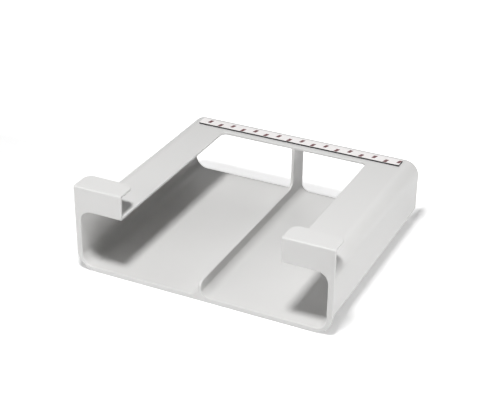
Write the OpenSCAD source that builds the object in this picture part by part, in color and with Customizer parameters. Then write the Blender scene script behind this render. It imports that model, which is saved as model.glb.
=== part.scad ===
// Under-shelf organizer for rolls of wrap, foil and bags.
// A one-piece moulded tray, open at the front and the back, hooks over the front edge of a shelf.
// A strip of double-sided foam tape on its rear bar sticks to the underside of the same shelf.
// X runs across, Y from front to back and Z up. The origin is at the bottom, under the middle.

/* [Overall] */
// Width across the front frame
overall_w = 280; // [240:5:330]
// Depth from the front face to the rear edge
overall_d = 250; // [200:5:300]
// Height of the tray, up to the top of its flanges
tray_h = 71; // [55:0.2:100]
// Rise of the hooks above the flanges
hook_rise = 24; // [16:0.2:36]

/* [Walls] */
// Thickness of the floor, walls, flanges and rear bar
wall_t = 3; // [2:0.25:4]
// Outside radius of the long lower corners
low_r = 17; // [12:0.5:19]
// Outside radius of the long upper corners
high_r = 16; // [10:0.5:22]
// Front to back width of the bar across the rear
bar_d = 27; // [18:0.5:40]
// Radius of the two rear corners of the opening in the top
slot_r = 6; // [2:0.5:12]

/* [Front frame] */
// Thickness of the frame, front to back
frame_t = 3; // [2:0.25:5]
// How far the frame stands out past the side walls
frame_proud = 3.2; // [0.4:0.2:6]
// Depth of the frame's foot and of the rear lip below the floor
foot_h = 2.2; // [0.4:0.2:5]
// Outside radius of the frame's lower corners
frame_low_r = 20.5; // [18:0.5:26]
// Inside radius of the frame's lower corners
rim_low_r = 11; // [4:0.5:13]
// Inside radius of the frame's upper corners
rim_high_r = 12; // [4:0.5:13]

/* [Hooks] */
// Width of each hook
hook_w = 54; // [30:1:80]
// Depth of each ledge from the front face
ledge_d = 26.5; // [15:0.5:45]
// Thickness of each ledge
ledge_t = 3; // [2:0.25:5]
// Radius of the rear corners of each ledge, seen from above
ledge_r = 9; // [2:0.5:12]
// Radius of the edge where the front plate turns into the ledge
nose_r = 2; // [0.5:0.25:2.5]
// Radius in the corner between the plate and the underside of the ledge
crook_r = 1.5; // [0.5:0.25:5]

/* [Divider] */
// Thickness of the rib and of the post at its rear end
rib_t = 3.4; // [1.6:0.2:5]
// Height of the rib above the floor
rib_h = 16.8; // [13:0.2:25]
// Width of the hollow curves beside the rib, which run out into the floor
hollow_w = 10; // [4:0.5:12]
// Height up to which these curves climb the rib
hollow_h = 6.8; // [2:0.2:8]
// Radius of the front end of the rib, seen from the side
rib_end_r = 6.5; // [2:0.5:12]
// Radius of the curve from the top of the rib up to the post
post_r = 9; // [2:0.5:20]

/* [Mounting tape] */
// Gap from each end of the tape to the long upper corner beside it
tape_gap = 0.8; // [0:0.2:60]
// Width of the tape
tape_w = 13; // [8:0.5:18]
// Thickness of the foam core
foam_t = 1.5; // [0.4:0.1:2]
// Thickness of each adhesive film
film_t = 0.1; // [0.05:0.05:0.3]
// Thickness of the release liner
liner_t = 0.15; // [0.1:0.05:0.4]

/* [Hidden] */
$fn = 96;
// Overrun of every cut past the face that it opens
overrun = 1;

// Planes that the pieces share
front_y = -overall_d / 2;
rear_y = overall_d / 2;
frame_back_y = front_y + frame_t;
bar_front_y = rear_y - bar_d;
half_w = overall_w / 2;
slot_half = half_w - hook_w;
wall_out = half_w - frame_proud;
wall_in = wall_out - wall_t;
floor_z = foot_h + wall_t;
ceiling_z = tray_h - wall_t;
top_z = tray_h + hook_rise;
ledge_z = top_z - ledge_t;
rib_z = floor_z + rib_h;
curve_h = min(hollow_h, hollow_w);
// Radius of the hollow curves, which are level where they meet the floor
curve_r = (hollow_w * hollow_w + curve_h * curve_h) / (2 * curve_h);
// The rounded front end of the rib stays above its hollow curves
front_end_r = min(rib_end_r, rib_h - curve_h);

// Layers of the tape, from the rear bar upwards
tape_half = wall_out - high_r - tape_gap;
tape_y = rear_y - bar_d / 2;
foam_z = tray_h + film_t;
upper_film_z = foam_z + foam_t;
liner_z = upper_film_z + film_t;

// Outline in X and Z, drawn out along Y from y0 to y1
module run_y(y0, y1) {
    translate([0, y1, 0]) rotate([90, 0, 0]) linear_extrude(y1 - y0) children();
}

// Outline in Y and Z, drawn out along X from x0 to x1
module run_x(x0, x1) {
    translate([x0, 0, 0]) rotate([90, 0, 90]) linear_extrude(x1 - x0) children();
}

// What lies between a square corner at the origin and an arc of radius r inside it, past both edges by past
module corner(r, past) {
    difference() {
        translate([-past, -past]) square(r + past);
        translate([r, r]) circle(r);
    }
}

// Upright outline from z0 to z1, with a radius at its lower and at its upper corners
module rounded(half, z0, z1, r0, r1) {
    difference() {
        translate([-half, z0]) square([2 * half, z1 - z0]);
        for (side = [-1, 1]) {
            translate([side * half, z0]) scale([-side, 1]) corner(r0, overrun);
            translate([side * half, z1]) scale([-side, -1]) corner(r1, overrun);
        }
    }
}

// Material under a hollow curve that starts on the rib and runs out into the floor
module hollow_curve() {
    difference() {
        translate([-overrun, -overrun]) square([hollow_w + overrun, curve_h + overrun]);
        translate([hollow_w, curve_r]) circle(curve_r);
    }
}

// Cross section of the divider: a thin rib on two hollow curves
module rib_section() {
    translate([-rib_t / 2, foot_h]) square([rib_t, wall_t + rib_h]);
    for (side = [-1, 1]) translate([side * rib_t / 2, floor_z]) scale([side, 1]) hollow_curve();
}

// Cross section of the room inside, in two halves beside the divider
module room_section(r0, r1) {
    difference() {
        rounded(wall_in, floor_z, ceiling_z, r0, r1);
        rib_section();
    }
}

// Side view of the post that carries the middle of the rear bar, with the curve at its foot
module post_section() {
    translate([bar_front_y, floor_z]) square([bar_d + overrun, ceiling_z - floor_z]);
    translate([bar_front_y, rib_z]) scale([-1, 1]) corner(post_r, overrun);
}

// The opening in the top, which runs out through the front between the hooks
module top_slot() {
    translate([0, 0, ceiling_z - overrun]) linear_extrude(top_z - ceiling_z + 2 * overrun) difference() {
        translate([-slot_half, front_y - overrun]) square([2 * slot_half, overall_d - bar_d + overrun]);
        for (side = [-1, 1])
            translate([side * slot_half, bar_front_y]) scale([-side, -1]) corner(slot_r, overrun);
    }
}

// Flat frame round the front, with the plates of both hooks
module front_frame() {
    run_y(front_y, frame_back_y) difference() {
        translate([-half_w, 0]) square([overall_w, top_z]);
        for (side = [-1, 1]) translate([side * half_w, 0]) scale([-side, 1]) corner(frame_low_r, overrun);
    }
}

// Ledge that rests on the shelf, drawn for the right hand side
module ledge() {
    translate([0, 0, ledge_z]) linear_extrude(ledge_t) difference() {
        translate([slot_half, front_y]) square([hook_w, ledge_d]);
        translate([slot_half, front_y + ledge_d]) scale([1, -1]) corner(ledge_r, overrun);
        translate([half_w, front_y + ledge_d]) scale([-1, -1]) corner(ledge_r, overrun);
    }
    run_x(slot_half, half_w) translate([frame_back_y, ledge_z]) scale([1, -1]) corner(crook_r, overrun);
}

// Everything solid before the room and the opening are cut out of it
module tray_blank() {
    front_frame();
    run_y(front_y, rear_y) rounded(wall_out, foot_h, tray_h, low_r, high_r);
    ledge();
    mirror([1, 0, 0]) ledge();
    // Lip under the rear edge of the floor, level with the frame's foot
    translate([low_r - wall_out, rear_y - wall_t, 0]) cube([2 * (wall_out - low_r), wall_t, foot_h + overrun]);
}

// The moulded tray: floor, walls, flanges, rear bar, divider, front frame and both hooks
module tray_moulding() {
    color([0.84, 0.84, 0.83]) difference() {
        tray_blank();
        difference() {
            union() {
                run_y(front_y - overrun, rear_y + overrun) room_section(low_r - wall_t, high_r - wall_t);
                run_y(front_y - overrun, frame_back_y) room_section(rim_low_r, rim_high_r);
            }
            run_x(-rib_t / 2, rib_t / 2) post_section();
        }
        top_slot();
        // Rounded front end of the rib
        run_x(-rib_t, rib_t) translate([front_y, rib_z]) scale([1, -1]) corner(front_end_r, overrun);
        // Rounded edge along the top of both front plates
        run_x(-half_w - overrun, half_w + overrun) translate([front_y, top_z]) scale([1, -1]) corner(nose_r, overrun);
    }
}

// One flat layer of the tape, centred on the rear bar
module tape_layer(z, t) {
    translate([-tape_half, tape_y - tape_w / 2, z]) cube([2 * tape_half, tape_w, t]);
}

// Film of adhesive that holds the tape to the rear bar
module lower_adhesive() {
    color([0.55, 0.55, 0.54]) tape_layer(tray_h, film_t);
}

// Dark closed-cell foam in the middle of the tape
module foam_core() {
    color([0.12, 0.12, 0.12]) tape_layer(foam_z, foam_t);
}

// Film of adhesive that meets the underside of the shelf
module upper_adhesive() {
    color([0.55, 0.55, 0.54]) tape_layer(upper_film_z, film_t);
}

// Pale film that covers the upper adhesive and is lifted off before the tray is put up
module release_liner() {
    color([0.95, 0.94, 0.93]) tape_layer(liner_z, liner_t);
}

tray_moulding();
lower_adhesive();
foam_core();
upper_adhesive();
release_liner();
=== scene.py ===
from math import asin, cos, radians, sin, sqrt
import bmesh
import bpy
from mathutils import Euler, Matrix, Vector, noise


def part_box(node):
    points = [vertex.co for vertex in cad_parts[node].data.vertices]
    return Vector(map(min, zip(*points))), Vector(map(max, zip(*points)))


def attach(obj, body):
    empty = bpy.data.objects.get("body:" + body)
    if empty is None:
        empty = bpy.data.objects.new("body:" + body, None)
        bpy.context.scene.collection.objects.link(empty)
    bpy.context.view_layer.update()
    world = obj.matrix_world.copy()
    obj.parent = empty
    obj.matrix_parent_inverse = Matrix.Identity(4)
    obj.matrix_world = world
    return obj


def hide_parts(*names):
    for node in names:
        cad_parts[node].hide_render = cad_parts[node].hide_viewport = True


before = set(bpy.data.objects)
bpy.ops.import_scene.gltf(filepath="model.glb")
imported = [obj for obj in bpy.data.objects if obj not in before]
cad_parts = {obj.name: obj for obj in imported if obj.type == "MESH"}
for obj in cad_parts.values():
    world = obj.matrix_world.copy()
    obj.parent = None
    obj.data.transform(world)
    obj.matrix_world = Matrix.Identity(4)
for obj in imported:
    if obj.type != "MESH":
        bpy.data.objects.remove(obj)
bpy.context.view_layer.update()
bpy.context.scene.view_settings.view_transform = "Standard"

# Camera. It looks down at the organizer from the front, somewhat from the right, through a long lens.
# Its place, its slight roll and its lens were fitted to the straight edges of the tray in the photograph.
mm = 0.001
photo_width_px = 500
focal_px = 1235.7
sensor_width_mm = 36
camera_distance = 1295.03 * mm
camera_turn = radians(25.194)
camera_drop = radians(28.582)
camera_roll = radians(0.775)
aim = Vector((-5.939, 1.279, 47.10)) * mm

camera_data = bpy.data.cameras.new("camera")
camera_data.sensor_width = sensor_width_mm
camera_data.lens = focal_px / photo_width_px * sensor_width_mm
camera = bpy.data.objects.new("camera", camera_data)
camera_facing = Euler((radians(90) - camera_drop, 0, camera_turn)).to_matrix()
camera_facing = (camera_facing @ Matrix.Rotation(camera_roll, 3, "Z")).to_4x4()
camera_step = Matrix.Translation((0, 0, camera_distance))
camera.matrix_world = Matrix.Translation(aim) @ camera_facing @ camera_step
bpy.context.scene.collection.objects.link(camera)
bpy.context.scene.camera = camera

# Tray. One injection moulding in satin pale grey plastic, open at both ends, with two hooks on its frame.
# Half of its cross section is drawn from front to back, gets a frame, rear bar and post, and is mirrored.
# The long corners have their own radii, and every other edge the small one that a mould leaves.
tray_low, tray_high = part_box("tray_moulding")
front_y, rear_y = tray_low.y, tray_high.y
half_w, top_z = tray_high.x, tray_high.z
tray_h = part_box("lower_adhesive")[0].z
wall_t = 3 * mm
frame_t = 3 * mm
ledge_t = 3 * mm
foot_h = 2.2 * mm
frame_proud = 3.2 * mm
frame_low_r = 20.5 * mm
rim_low_r = 11 * mm
rim_high_r = 12 * mm
low_r = 17 * mm
high_r = 16 * mm
bar_d = 27 * mm
slot_r = 6 * mm
hook_w = 54 * mm
ledge_d = 26.5 * mm
ledge_r = 9 * mm
nose_r = 2 * mm
crook_r = 1.5 * mm
rib_half = 1.7 * mm
rib_h = 16.8 * mm
hollow_w = 10 * mm
hollow_h = 6.8 * mm
rib_end_r = 6.5 * mm
post_r = 9 * mm
mould_r = 0.8 * mm
hollow_steps = 10
most_steps = 12
step_error = 0.03 * mm
level_turn = radians(0.5)
sharp_turn = radians(35)
slack = 0.01 * mm
weld = 0.002 * mm

frame_back_y = front_y + frame_t
bar_y = rear_y - bar_d
ledge_y = front_y + ledge_d
wall_out = half_w - frame_proud
wall_in = wall_out - wall_t
slot_half = half_w - hook_w
floor_z = foot_h + wall_t
ceiling_z = tray_h - wall_t
ledge_z = top_z - ledge_t
rib_z = floor_z + rib_h


def lies(vert, place):
    """Says whether a vertex is at the given places. X counts on both sides, and a pair is a stretch."""
    for axis, at in place.items():
        start, end = at if isinstance(at, tuple) else (at, at)
        found = abs(vert.co.x) if axis == "x" else getattr(vert.co, axis)
        if not start - slack < found < end + slack:
            return False
    return True


def faces_at(shape, **place):
    """Finds the faces that lie at the given places."""
    return [face for face in shape.faces if all(lies(vert, place) for vert in face.verts)]


def edges_at(shape, across=False, **place):
    """Finds the edges that lie at the given places. Only edges that run across join the two sides."""
    found = [edge for edge in shape.edges if all(lies(vert, place) for vert in edge.verts)]
    return [edge for edge in found if across or edge.verts[0].co.x * edge.verts[1].co.x > 0]


def push(shape, faces, **target):
    """Draws faces out as one region to the given places. Inside a closed shape the old faces go."""
    closed = all(edge.is_manifold for face in faces for edge in face.edges)
    drawn = bmesh.ops.extrude_face_region(shape, geom=faces)["geom"]
    if closed:
        bmesh.ops.delete(shape, geom=faces, context="FACES")
    moved = [item for item in drawn if isinstance(item, bmesh.types.BMVert)]
    for vert in moved:
        for axis, at in target.items():
            setattr(vert.co, axis, at)
    shape.normal_update()
    return moved


def cut(shape, place, normal, faces=None):
    """Cuts the given faces, or all of them, along a plane."""
    faces = faces or shape.faces[:]
    parts = dict.fromkeys(part for face in faces for part in (face, *face.edges, *face.verts))
    bmesh.ops.bisect_plane(shape, geom=list(parts), dist=slack, plane_co=place, plane_no=normal)


def flatten(shape):
    """Joins the faces that lie in one plane."""
    shape.normal_update()
    level = [edge for edge in shape.edges if edge.calc_face_angle() < level_turn]
    bmesh.ops.dissolve_edges(shape, edges=level, use_verts=True)


def round_off(shape, edges, radius):
    """Gives edges a radius. Its steps stay near the round, which they miss by radius * turn ** 2 / 8."""
    steps = min(most_steps, round(radians(90) * sqrt(radius / step_error / 8)))
    bmesh.ops.bevel(shape, geom=edges, offset=radius, offset_type="OFFSET", segments=steps,
                    profile=0.5, affect="EDGES", material=-1)


def finished(name, shape, body, nodes, material):
    """Makes a smooth piece of a closed shape, and puts it in the place of its CAD nodes."""
    bmesh.ops.remove_doubles(shape, verts=shape.verts, dist=weld)
    for face in shape.faces:
        face.smooth = True
    mesh = bpy.data.meshes.new(name)
    shape.to_mesh(mesh)
    shape.free()
    mesh.materials.append(material)
    piece = bpy.data.objects.new(name, mesh)
    bpy.context.scene.collection.objects.link(piece)
    even = piece.modifiers.new("even_shading", "WEIGHTED_NORMAL")
    even.keep_sharp = True
    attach(piece, body)
    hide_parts(*nodes)
    return piece


# Cross section of the right half. A hollow curve runs from the floor up the side of the rib.
tray = bmesh.new()
hollow_r = (hollow_w ** 2 + hollow_h ** 2) / (2 * hollow_h)
hollow_turn = asin(hollow_w / hollow_r) / hollow_steps
hollow = [(rib_half + hollow_w - hollow_r * sin(step * hollow_turn),
           floor_z + hollow_r * (1 - cos(step * hollow_turn))) for step in range(hollow_steps + 1)]
section = [(0, foot_h), (wall_out, foot_h), (wall_out, tray_h), (slot_half, tray_h),
           (slot_half, ceiling_z), (wall_in, ceiling_z), (wall_in, floor_z),
           *hollow, (rib_half, rib_z), (0, rib_z)]
push(tray, [tray.faces.new([tray.verts.new((x, front_y, z)) for x, z in section])], y=rear_y)
bmesh.ops.recalc_face_normals(tray, faces=tray.faces)
cut(tray, (0, frame_back_y, 0), (0, 1, 0))
cut(tray, (0, bar_y, 0), (0, 1, 0))

# Front frame, which stands out past the walls and rises into the plates of the hooks
frame_depth = (front_y, frame_back_y)
outside = [faces_at(tray, y=frame_depth, **side)
           for side in ({"z": foot_h}, {"x": wall_out}, {"z": tray_h})]
for vert in push(tray, sum(outside, [])):
    if lies(vert, {"x": wall_out}):
        vert.co.x = half_w
    vert.co.z = 0 if vert.co.z < floor_z else top_z
tray.normal_update()

# Rear bar, from the flange to the middle, and the post under it
for start, end in ((slot_half, rib_half), (rib_half, 0)):
    push(tray, faces_at(tray, x=start, y=(bar_y, rear_y), z=(ceiling_z, tray_h)), x=end)
ends = [faces_at(tray, x=(0, rib_half), y=(bar_y, rear_y), z=level)[0] for level in (rib_z, ceiling_z)]
loops = [edge for face in ends for edge in face.edges]
bmesh.ops.delete(tray, geom=ends, context="FACES_ONLY")
bmesh.ops.bridge_loops(tray, edges=loops)

# The other half
bmesh.ops.delete(tray, geom=faces_at(tray, x=0), context="FACES")
right_half = tray.verts[:] + tray.edges[:] + tray.faces[:]
bmesh.ops.mirror(tray, geom=right_half, matrix=Matrix(), merge_dist=slack, axis="X")
bmesh.ops.recalc_face_normals(tray, faces=tray.faces)
flatten(tray)

# Ledges that rest on the shelf
cut(tray, (0, 0, ledge_z), (0, 0, 1), faces_at(tray, y=frame_back_y))
push(tray, faces_at(tray, y=frame_back_y, z=(ledge_z, top_z)), y=ledge_y)

# Radii
walls_depth = (frame_back_y, rear_y)
round_off(tray, edges_at(tray, x=half_w, z=0, y=frame_depth), frame_low_r)
round_off(tray, edges_at(tray, x=wall_out, z=foot_h, y=walls_depth), low_r)
round_off(tray, edges_at(tray, x=wall_out, z=tray_h, y=walls_depth), high_r)
round_off(tray, edges_at(tray, x=wall_in, z=floor_z), low_r - wall_t)
round_off(tray, edges_at(tray, x=wall_in, z=ceiling_z), high_r - wall_t)
round_off(tray, edges_at(tray, x=slot_half, y=bar_y, z=(ceiling_z, tray_h)), slot_r)
upright = [edge for edge in edges_at(tray, y=ledge_y, z=(ledge_z, top_z))
           if abs(edge.verts[0].co.z - edge.verts[1].co.z) > slack]
round_off(tray, upright, ledge_r)
round_off(tray, edges_at(tray, across=True, x=(0, rib_half), y=bar_y, z=rib_z), post_r)
round_off(tray, edges_at(tray, across=True, x=(0, rib_half), y=front_y, z=rib_z), rib_end_r)
round_off(tray, edges_at(tray, y=front_y, z=top_z), nose_r)
round_off(tray, edges_at(tray, y=frame_back_y, z=ledge_z), crook_r)

# Lip under the rear edge of the floor
cut(tray, (0, rear_y - wall_t, 0), (0, 1, 0), faces_at(tray, z=foot_h))
push(tray, faces_at(tray, z=foot_h, y=(rear_y - wall_t, rear_y)), z=0)

# The frame's opening has tighter corners than the room behind it, and runs into them over its thickness
room = [face for face in tray.faces
        if all(lies(vert, {"x": (0, wall_in), "z": (floor_z, ceiling_z)}) for vert in face.verts)
        and any(lies(vert, {"y": front_y}) for vert in face.verts)
        and not all(lies(vert, {"y": front_y}) for vert in face.verts)]
cut(tray, (0, frame_back_y, 0), (0, 1, 0), room)
corners = ((floor_z, 1, low_r - wall_t, rim_low_r), (ceiling_z, -1, high_r - wall_t, rim_high_r))
for vert in tray.verts:
    for level, up, room_r, rim_r in corners:
        side = 1 if vert.co.x > 0 else -1
        hub = Vector((side * (wall_in - room_r), level + up * room_r))
        spoke = Vector((vert.co.x, vert.co.z)) - hub
        on_arc = abs(spoke.length - room_r) < slack and spoke.x * side > -slack and spoke.y * up < slack
        if on_arc and lies(vert, {"y": front_y}):
            vert.co.x = side * (wall_in - rim_r) + spoke.x * rim_r / room_r
            vert.co.z = level + up * rim_r + spoke.y * rim_r / room_r
flatten(tray)

# The small radius of the mould, on every edge that is still sharp
round_off(tray, [edge for edge in tray.edges if edge.calc_face_angle() > sharp_turn], mould_r)


class Signal:
    """An output of a finish's nodes. Sums of signals and numbers add their Math nodes."""

    def __init__(self, finish, socket):
        self.finish = finish
        self.socket = socket

    def math(self, operation, *values, clamp=False):
        return self.finish.node("ShaderNodeMath", {"operation": operation, "use_clamp": clamp},
                                dict(enumerate(values)))

    def __add__(self, other):
        return self.math("ADD", self, other)

    def __sub__(self, other):
        return self.math("SUBTRACT", self, other)

    def __rsub__(self, other):
        return self.math("SUBTRACT", other, self)

    def __mul__(self, other):
        return self.math("MULTIPLY", self, other)

    def __lt__(self, other):
        return self.math("LESS_THAN", self, other)

    def __gt__(self, other):
        return self.math("GREATER_THAN", self, other)

    def __abs__(self):
        return self.math("ABSOLUTE", self)

    __radd__ = __add__
    __rmul__ = __mul__

    def above(self, other):
        """The larger of two signals."""
        return self.math("MAXIMUM", self, other)

    def ramp(self, start, length):
        """A signal that grows from 0 at the start to 1 after the given length."""
        return self.math("MULTIPLY", self - start, 1 / length, clamp=True)


class Finish:
    """A material or a world, with the nodes that give its finish."""

    def __init__(self, owner, shader="Principled BSDF"):
        owner.use_nodes = True
        self.owner = owner
        self.tree = owner.node_tree
        self.shader = self.tree.nodes[shader]

    def node(self, kind, settings=None, sockets=None, output=0):
        """Adds a node with its settings, then the values or links of its sockets."""
        added = self.tree.nodes.new(kind)
        for name, value in (settings or {}).items():
            setattr(added, name, value)
        for name, value in (sockets or {}).items():
            self.plug(added, name, value)
        return Signal(self, added.outputs[output])

    def plug(self, added, name, value):
        if isinstance(value, Signal):
            self.tree.links.new(value.socket, added.inputs[name])
        else:
            added.inputs[name].default_value = value

    def set(self, **sockets):
        """Sets the shader's sockets. A name is written with low lines for spaces."""
        for name, value in sockets.items():
            self.plug(self.shader, name.replace("_", " ").title(), value)

    def place(self):
        """Where a point is on the piece, in metres."""
        return self.node("ShaderNodeTexCoord", output="Object")

    def along(self, axis):
        """How far along an axis a point is, in metres."""
        return self.node("ShaderNodeSeparateXYZ", {}, {0: self.place()}, output=axis)

    def grain(self, size, detail=2.0):
        """Noise from 0 to 1 with patches of about the given size."""
        return self.node("ShaderNodeTexNoise", {}, {
            "Vector": self.place(), "Scale": 1 / size, "Detail": detail})

    def mix(self, factor, first, second):
        """A colour between two others."""
        return self.node("ShaderNodeMix", {"data_type": "RGBA"}, {0: factor, 6: first, 7: second},
                         output=2)

    def bump(self, height, depth, under=None):
        """A surface raised by up to the given depth where the height is 1."""
        sockets = {"Height": height, "Distance": depth}
        if under:
            sockets["Normal"] = under
        return self.node("ShaderNodeBump", {}, sockets)


# The plastic has a fine even grain from the mould, faint waves, and hardly any change of tone
plastic_grey = (0.655, 0.651, 0.643, 1)
plastic_light_grey = (0.67, 0.666, 0.658, 1)
tone_size = 60 * mm
sheen_size = 9 * mm
wave_size = 38 * mm
wave_depth = 0.05 * mm
grain_size = 0.45 * mm
grain_depth = 0.006 * mm
plastic = Finish(bpy.data.materials.new("tray_plastic"))
tone = plastic.grain(tone_size)
sheen = plastic.grain(sheen_size, detail=4.0)
fine_grain = plastic.grain(grain_size)
waves = plastic.bump(plastic.grain(wave_size), wave_depth)
plastic.set(
    base_color=plastic.mix(tone, plastic_grey, plastic_light_grey),
    roughness=0.36 + 0.06 * sheen,
    normal=plastic.bump(fine_grain, grain_depth, waves),
)
finished("tray_shell", tray, "tray", ["tray_moulding"], plastic.owner)

# Foam tape. A strip of black closed-cell foam with a clear film of adhesive on each face.
# It is cut from a roll and pressed on to the rear bar, so its cut sides wander a little and are drawn in.
tape_step = 4 * mm
tape_rows = 6
tape_corner_r = 0.5 * mm
tape_corner_steps = 3
side_wave_l = 9 * mm
curl_l = 7 * mm
foam_wander = 0.15 * mm
foam_pinch = 0.12 * mm
glue_wander = 0.3 * mm


def strip(node, wander=0, pinch=0, curl=0):
    """A strip of tape in short lengths. Its sides wander, its mid height is pinched, its ends curl up."""
    low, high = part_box(node)
    size, middle = high - low, (low + high) / 2
    shape = bmesh.new()
    bmesh.ops.create_grid(shape, x_segments=round(size.x / tape_step), y_segments=tape_rows, size=0.5)
    bmesh.ops.scale(shape, vec=(size.x, size.y, 1), verts=shape.verts)
    bmesh.ops.translate(shape, vec=(middle.x, middle.y, low.z), verts=shape.verts)
    tips = [vert for vert in shape.verts if len(vert.link_faces) == 1]
    bmesh.ops.bevel(shape, geom=tips, offset=tape_corner_r, offset_type="OFFSET",
                    segments=tape_corner_steps, profile=0.5, affect="VERTICES", material=-1)
    push(shape, shape.faces[:], z=high.z)
    bmesh.ops.recalc_face_normals(shape, faces=shape.faces)
    cut(shape, middle, (0, 0, 1))
    for vert in shape.verts:
        from_middle = vert.co - middle
        outwards = 1 if from_middle.y > 0 else -1
        at_side = abs(from_middle.y) > size.y / 2 - tape_corner_r
        if at_side:
            wave = noise.noise(Vector((vert.co.x / side_wave_l, from_middle.y / mm, 0)))
            vert.co.y += outwards * wander * (wave - 1) / 2
        if at_side and abs(from_middle.z) < slack:
            vert.co.y -= outwards * pinch
        past = abs(from_middle.x) - (size.x / 2 - curl_l)
        if past > 0:
            vert.co.z += curl * (past / curl_l) ** 2
    return shape


foam_black = (0.010, 0.010, 0.011, 1)
foam_dark_grey = (0.028, 0.028, 0.029, 1)
cell = 0.35 * mm
cell_depth = 0.08 * mm
foam_patch = 2 * mm
foam = Finish(bpy.data.materials.new("black_foam"))
foam.set(
    base_color=foam.mix(foam.grain(cell), foam_black, foam_dark_grey),
    roughness=0.75 + 0.15 * foam.grain(foam_patch),
    normal=foam.bump(foam.grain(cell, detail=3.0), cell_depth),
)
foam_shape = strip("foam_core", foam_wander, foam_pinch)
foam_strip = finished("foam_strip", foam_shape, "tray", ["foam_core"], foam.owner)

glue_dark = (0.30, 0.30, 0.29, 1)
glue_pale = (0.36, 0.36, 0.35, 1)
glue_patch = 3 * mm
glue_sheen = 5 * mm
glue = Finish(bpy.data.materials.new("clear_adhesive"))
glue.set(
    base_color=glue.mix(glue.grain(glue_patch), glue_dark, glue_pale),
    roughness=0.15 + 0.1 * glue.grain(glue_sheen),
)
for side in ("lower", "upper"):
    glue_shape = strip(side + "_adhesive", glue_wander)
    finished(side + "_film", glue_shape, "tray", [side + "_adhesive"], glue.owner)

# Release liner. A pale coated film over the upper adhesive, printed with small dark red marks.
# They are plain slanted dashes, in two rows by turns. The film is cut with the tape, also through a mark.
liner_white = (0.88, 0.855, 0.85, 1)
mark_red = (0.12, 0.01, 0.016, 1)
mark_pitch = 14.18 * mm
print_start = 4.2 * mm
mark_w = 3.8 * mm
mark_l = 6.5 * mm
mark_slant = 0.25
rear_row = 0.8 * mm
row_gap = 3.6 * mm
ink_patch = 0.8 * mm
liner_sheen = 12 * mm
ripple_l = 25 * mm
ripple_depth = 0.12 * mm
liner_curl = 0.3 * mm
liner_low, liner_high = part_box("release_liner")
liner_y = (liner_low.y + liner_high.y) / 2

film = Finish(bpy.data.materials.new("liner_film"))
pitches = (film.along("X") - (liner_low.x + print_start)) * (1 / mark_pitch)
count = pitches.math("FLOOR", pitches)
in_front = count.math("PINGPONG", count, 1)
across = film.along("Y") - (liner_y + rear_row) + in_front * row_gap
offset = (pitches - count - 0.5) * mark_pitch - across * mark_slant
mark = (abs(offset) < mark_w / 2) * (abs(across) < mark_l / 2)
ink = 0.9 + 0.1 * film.grain(ink_patch)
film.set(
    base_color=film.mix(mark * ink, liner_white, mark_red),
    roughness=0.32 + 0.1 * film.grain(liner_sheen),
    normal=film.bump(film.grain(ripple_l), ripple_depth),
)
liner = strip("release_liner", curl=liner_curl)
finished("liner_strip", liner, "liner", ["release_liner"], film.owner)

# Floor. Plain white studio paper, far wider than the object, which keeps the object's shadow.
# What is seen of it is lifted towards white, and more so behind the object, where this painted light
# lightens the object's own shadow. On the right, where the shadow falls, that starts further back. Far
# away all of it is white to the camera.
paper_tone = (0.8, 0.8, 0.8, 1)
black = (0, 0, 0, 1)
white = (1, 1, 1, 1)
floor_half = 6000 * mm
front_lift = 0.3
rear_lift = 0.7
lift_start = 100 * mm
lift_depth = 40 * mm
shadow_start = 127 * mm
shadow_edge = 10 * mm
shadow_depth = 60 * mm
far_start = 350 * mm
far_depth = 400 * mm
paper = Finish(bpy.data.materials.new("studio_paper"))
in_camera, in_gloss, in_glass = [paper.node("ShaderNodeLightPath", output=kind)
                                 for kind in ("Is Camera Ray", "Is Glossy Ray", "Is Transmission Ray")]
beside = paper.along("X").ramp(shadow_start, shadow_edge)
# Painted light: behind the object the emission lightens the object's shadow on the floor.
behind = (paper.along("Y") - beside * shadow_depth).ramp(lift_start, lift_depth)
away = paper.node("ShaderNodeVectorMath", {"operation": "LENGTH"}, {0: paper.place()}, output="Value")
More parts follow.
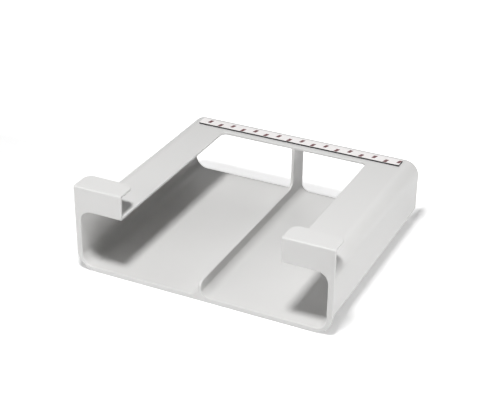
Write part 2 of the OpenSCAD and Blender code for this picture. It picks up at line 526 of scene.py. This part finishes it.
near_lift = in_camera.above(in_gloss).above(in_glass) * (front_lift + behind * (rear_lift - front_lift))
lift = near_lift.above(in_camera * away.ramp(far_start, far_depth))
paper.set(
    base_color=paper_tone,
    roughness=0.9,
    emission_color=paper.mix(lift, black, white),
    emission_strength=1,
)
floor_mesh = bpy.data.meshes.new("floor")
sheet = bmesh.new()
bmesh.ops.create_grid(sheet, x_segments=1, y_segments=1, size=floor_half)
sheet.to_mesh(floor_mesh)
sheet.free()
floor_mesh.materials.append(paper.owner)
floor = bpy.data.objects.new("floor", floor_mesh)
bpy.context.scene.collection.objects.link(floor)

# Studio light. A small key lamp high in front gives the shadows inside the tray and under the ledges.
# Soft panels at the front left and behind, and a low one on the right, fill its sides.
# The studio itself is dim, and only the camera sees its white backdrop past the edge of the floor.
studio = Finish(bpy.data.worlds.new("studio"), "Background")
studio.set(color=white, strength=0.01)
dim = Signal(studio, studio.shader.outputs["Background"])
backdrop = studio.node("ShaderNodeBackground", {}, {"Color": white, "Strength": 1})
to_camera = studio.node("ShaderNodeLightPath", output="Is Camera Ray")
surround = studio.node("ShaderNodeMixShader", {}, {0: to_camera, 1: dim, 2: backdrop})
studio.plug(studio.tree.nodes["World Output"], "Surface", surround)
bpy.context.scene.world = studio.owner


def lamp(name, turn, rise, distance, size, power):
    """A square lamp that faces the object, by degrees to the right of its front and above the floor."""
    light = bpy.data.lights.new(name, "AREA")
    light.energy = power
    light.size = size
    fixture = bpy.data.objects.new(name, light)
    facing = Euler((radians(90 - rise), 0, radians(turn))).to_matrix().to_4x4()
    fixture.matrix_world = facing @ Matrix.Translation((0, 0, distance))
    bpy.context.scene.collection.objects.link(fixture)


lamp("key", turn=7, rise=71, distance=1.4, size=0.24, power=17)
lamp("front_left_panel", turn=-30, rise=12, distance=1.2, size=0.72, power=5)
lamp("back_left_panel", turn=-130, rise=25, distance=1.6, size=0.9, power=1.8)
lamp("back_panel", turn=190, rise=40, distance=2, size=1.2, power=5.2)
lamp("right_panel", turn=84, rise=9, distance=1.2, size=0.3, power=5.8)
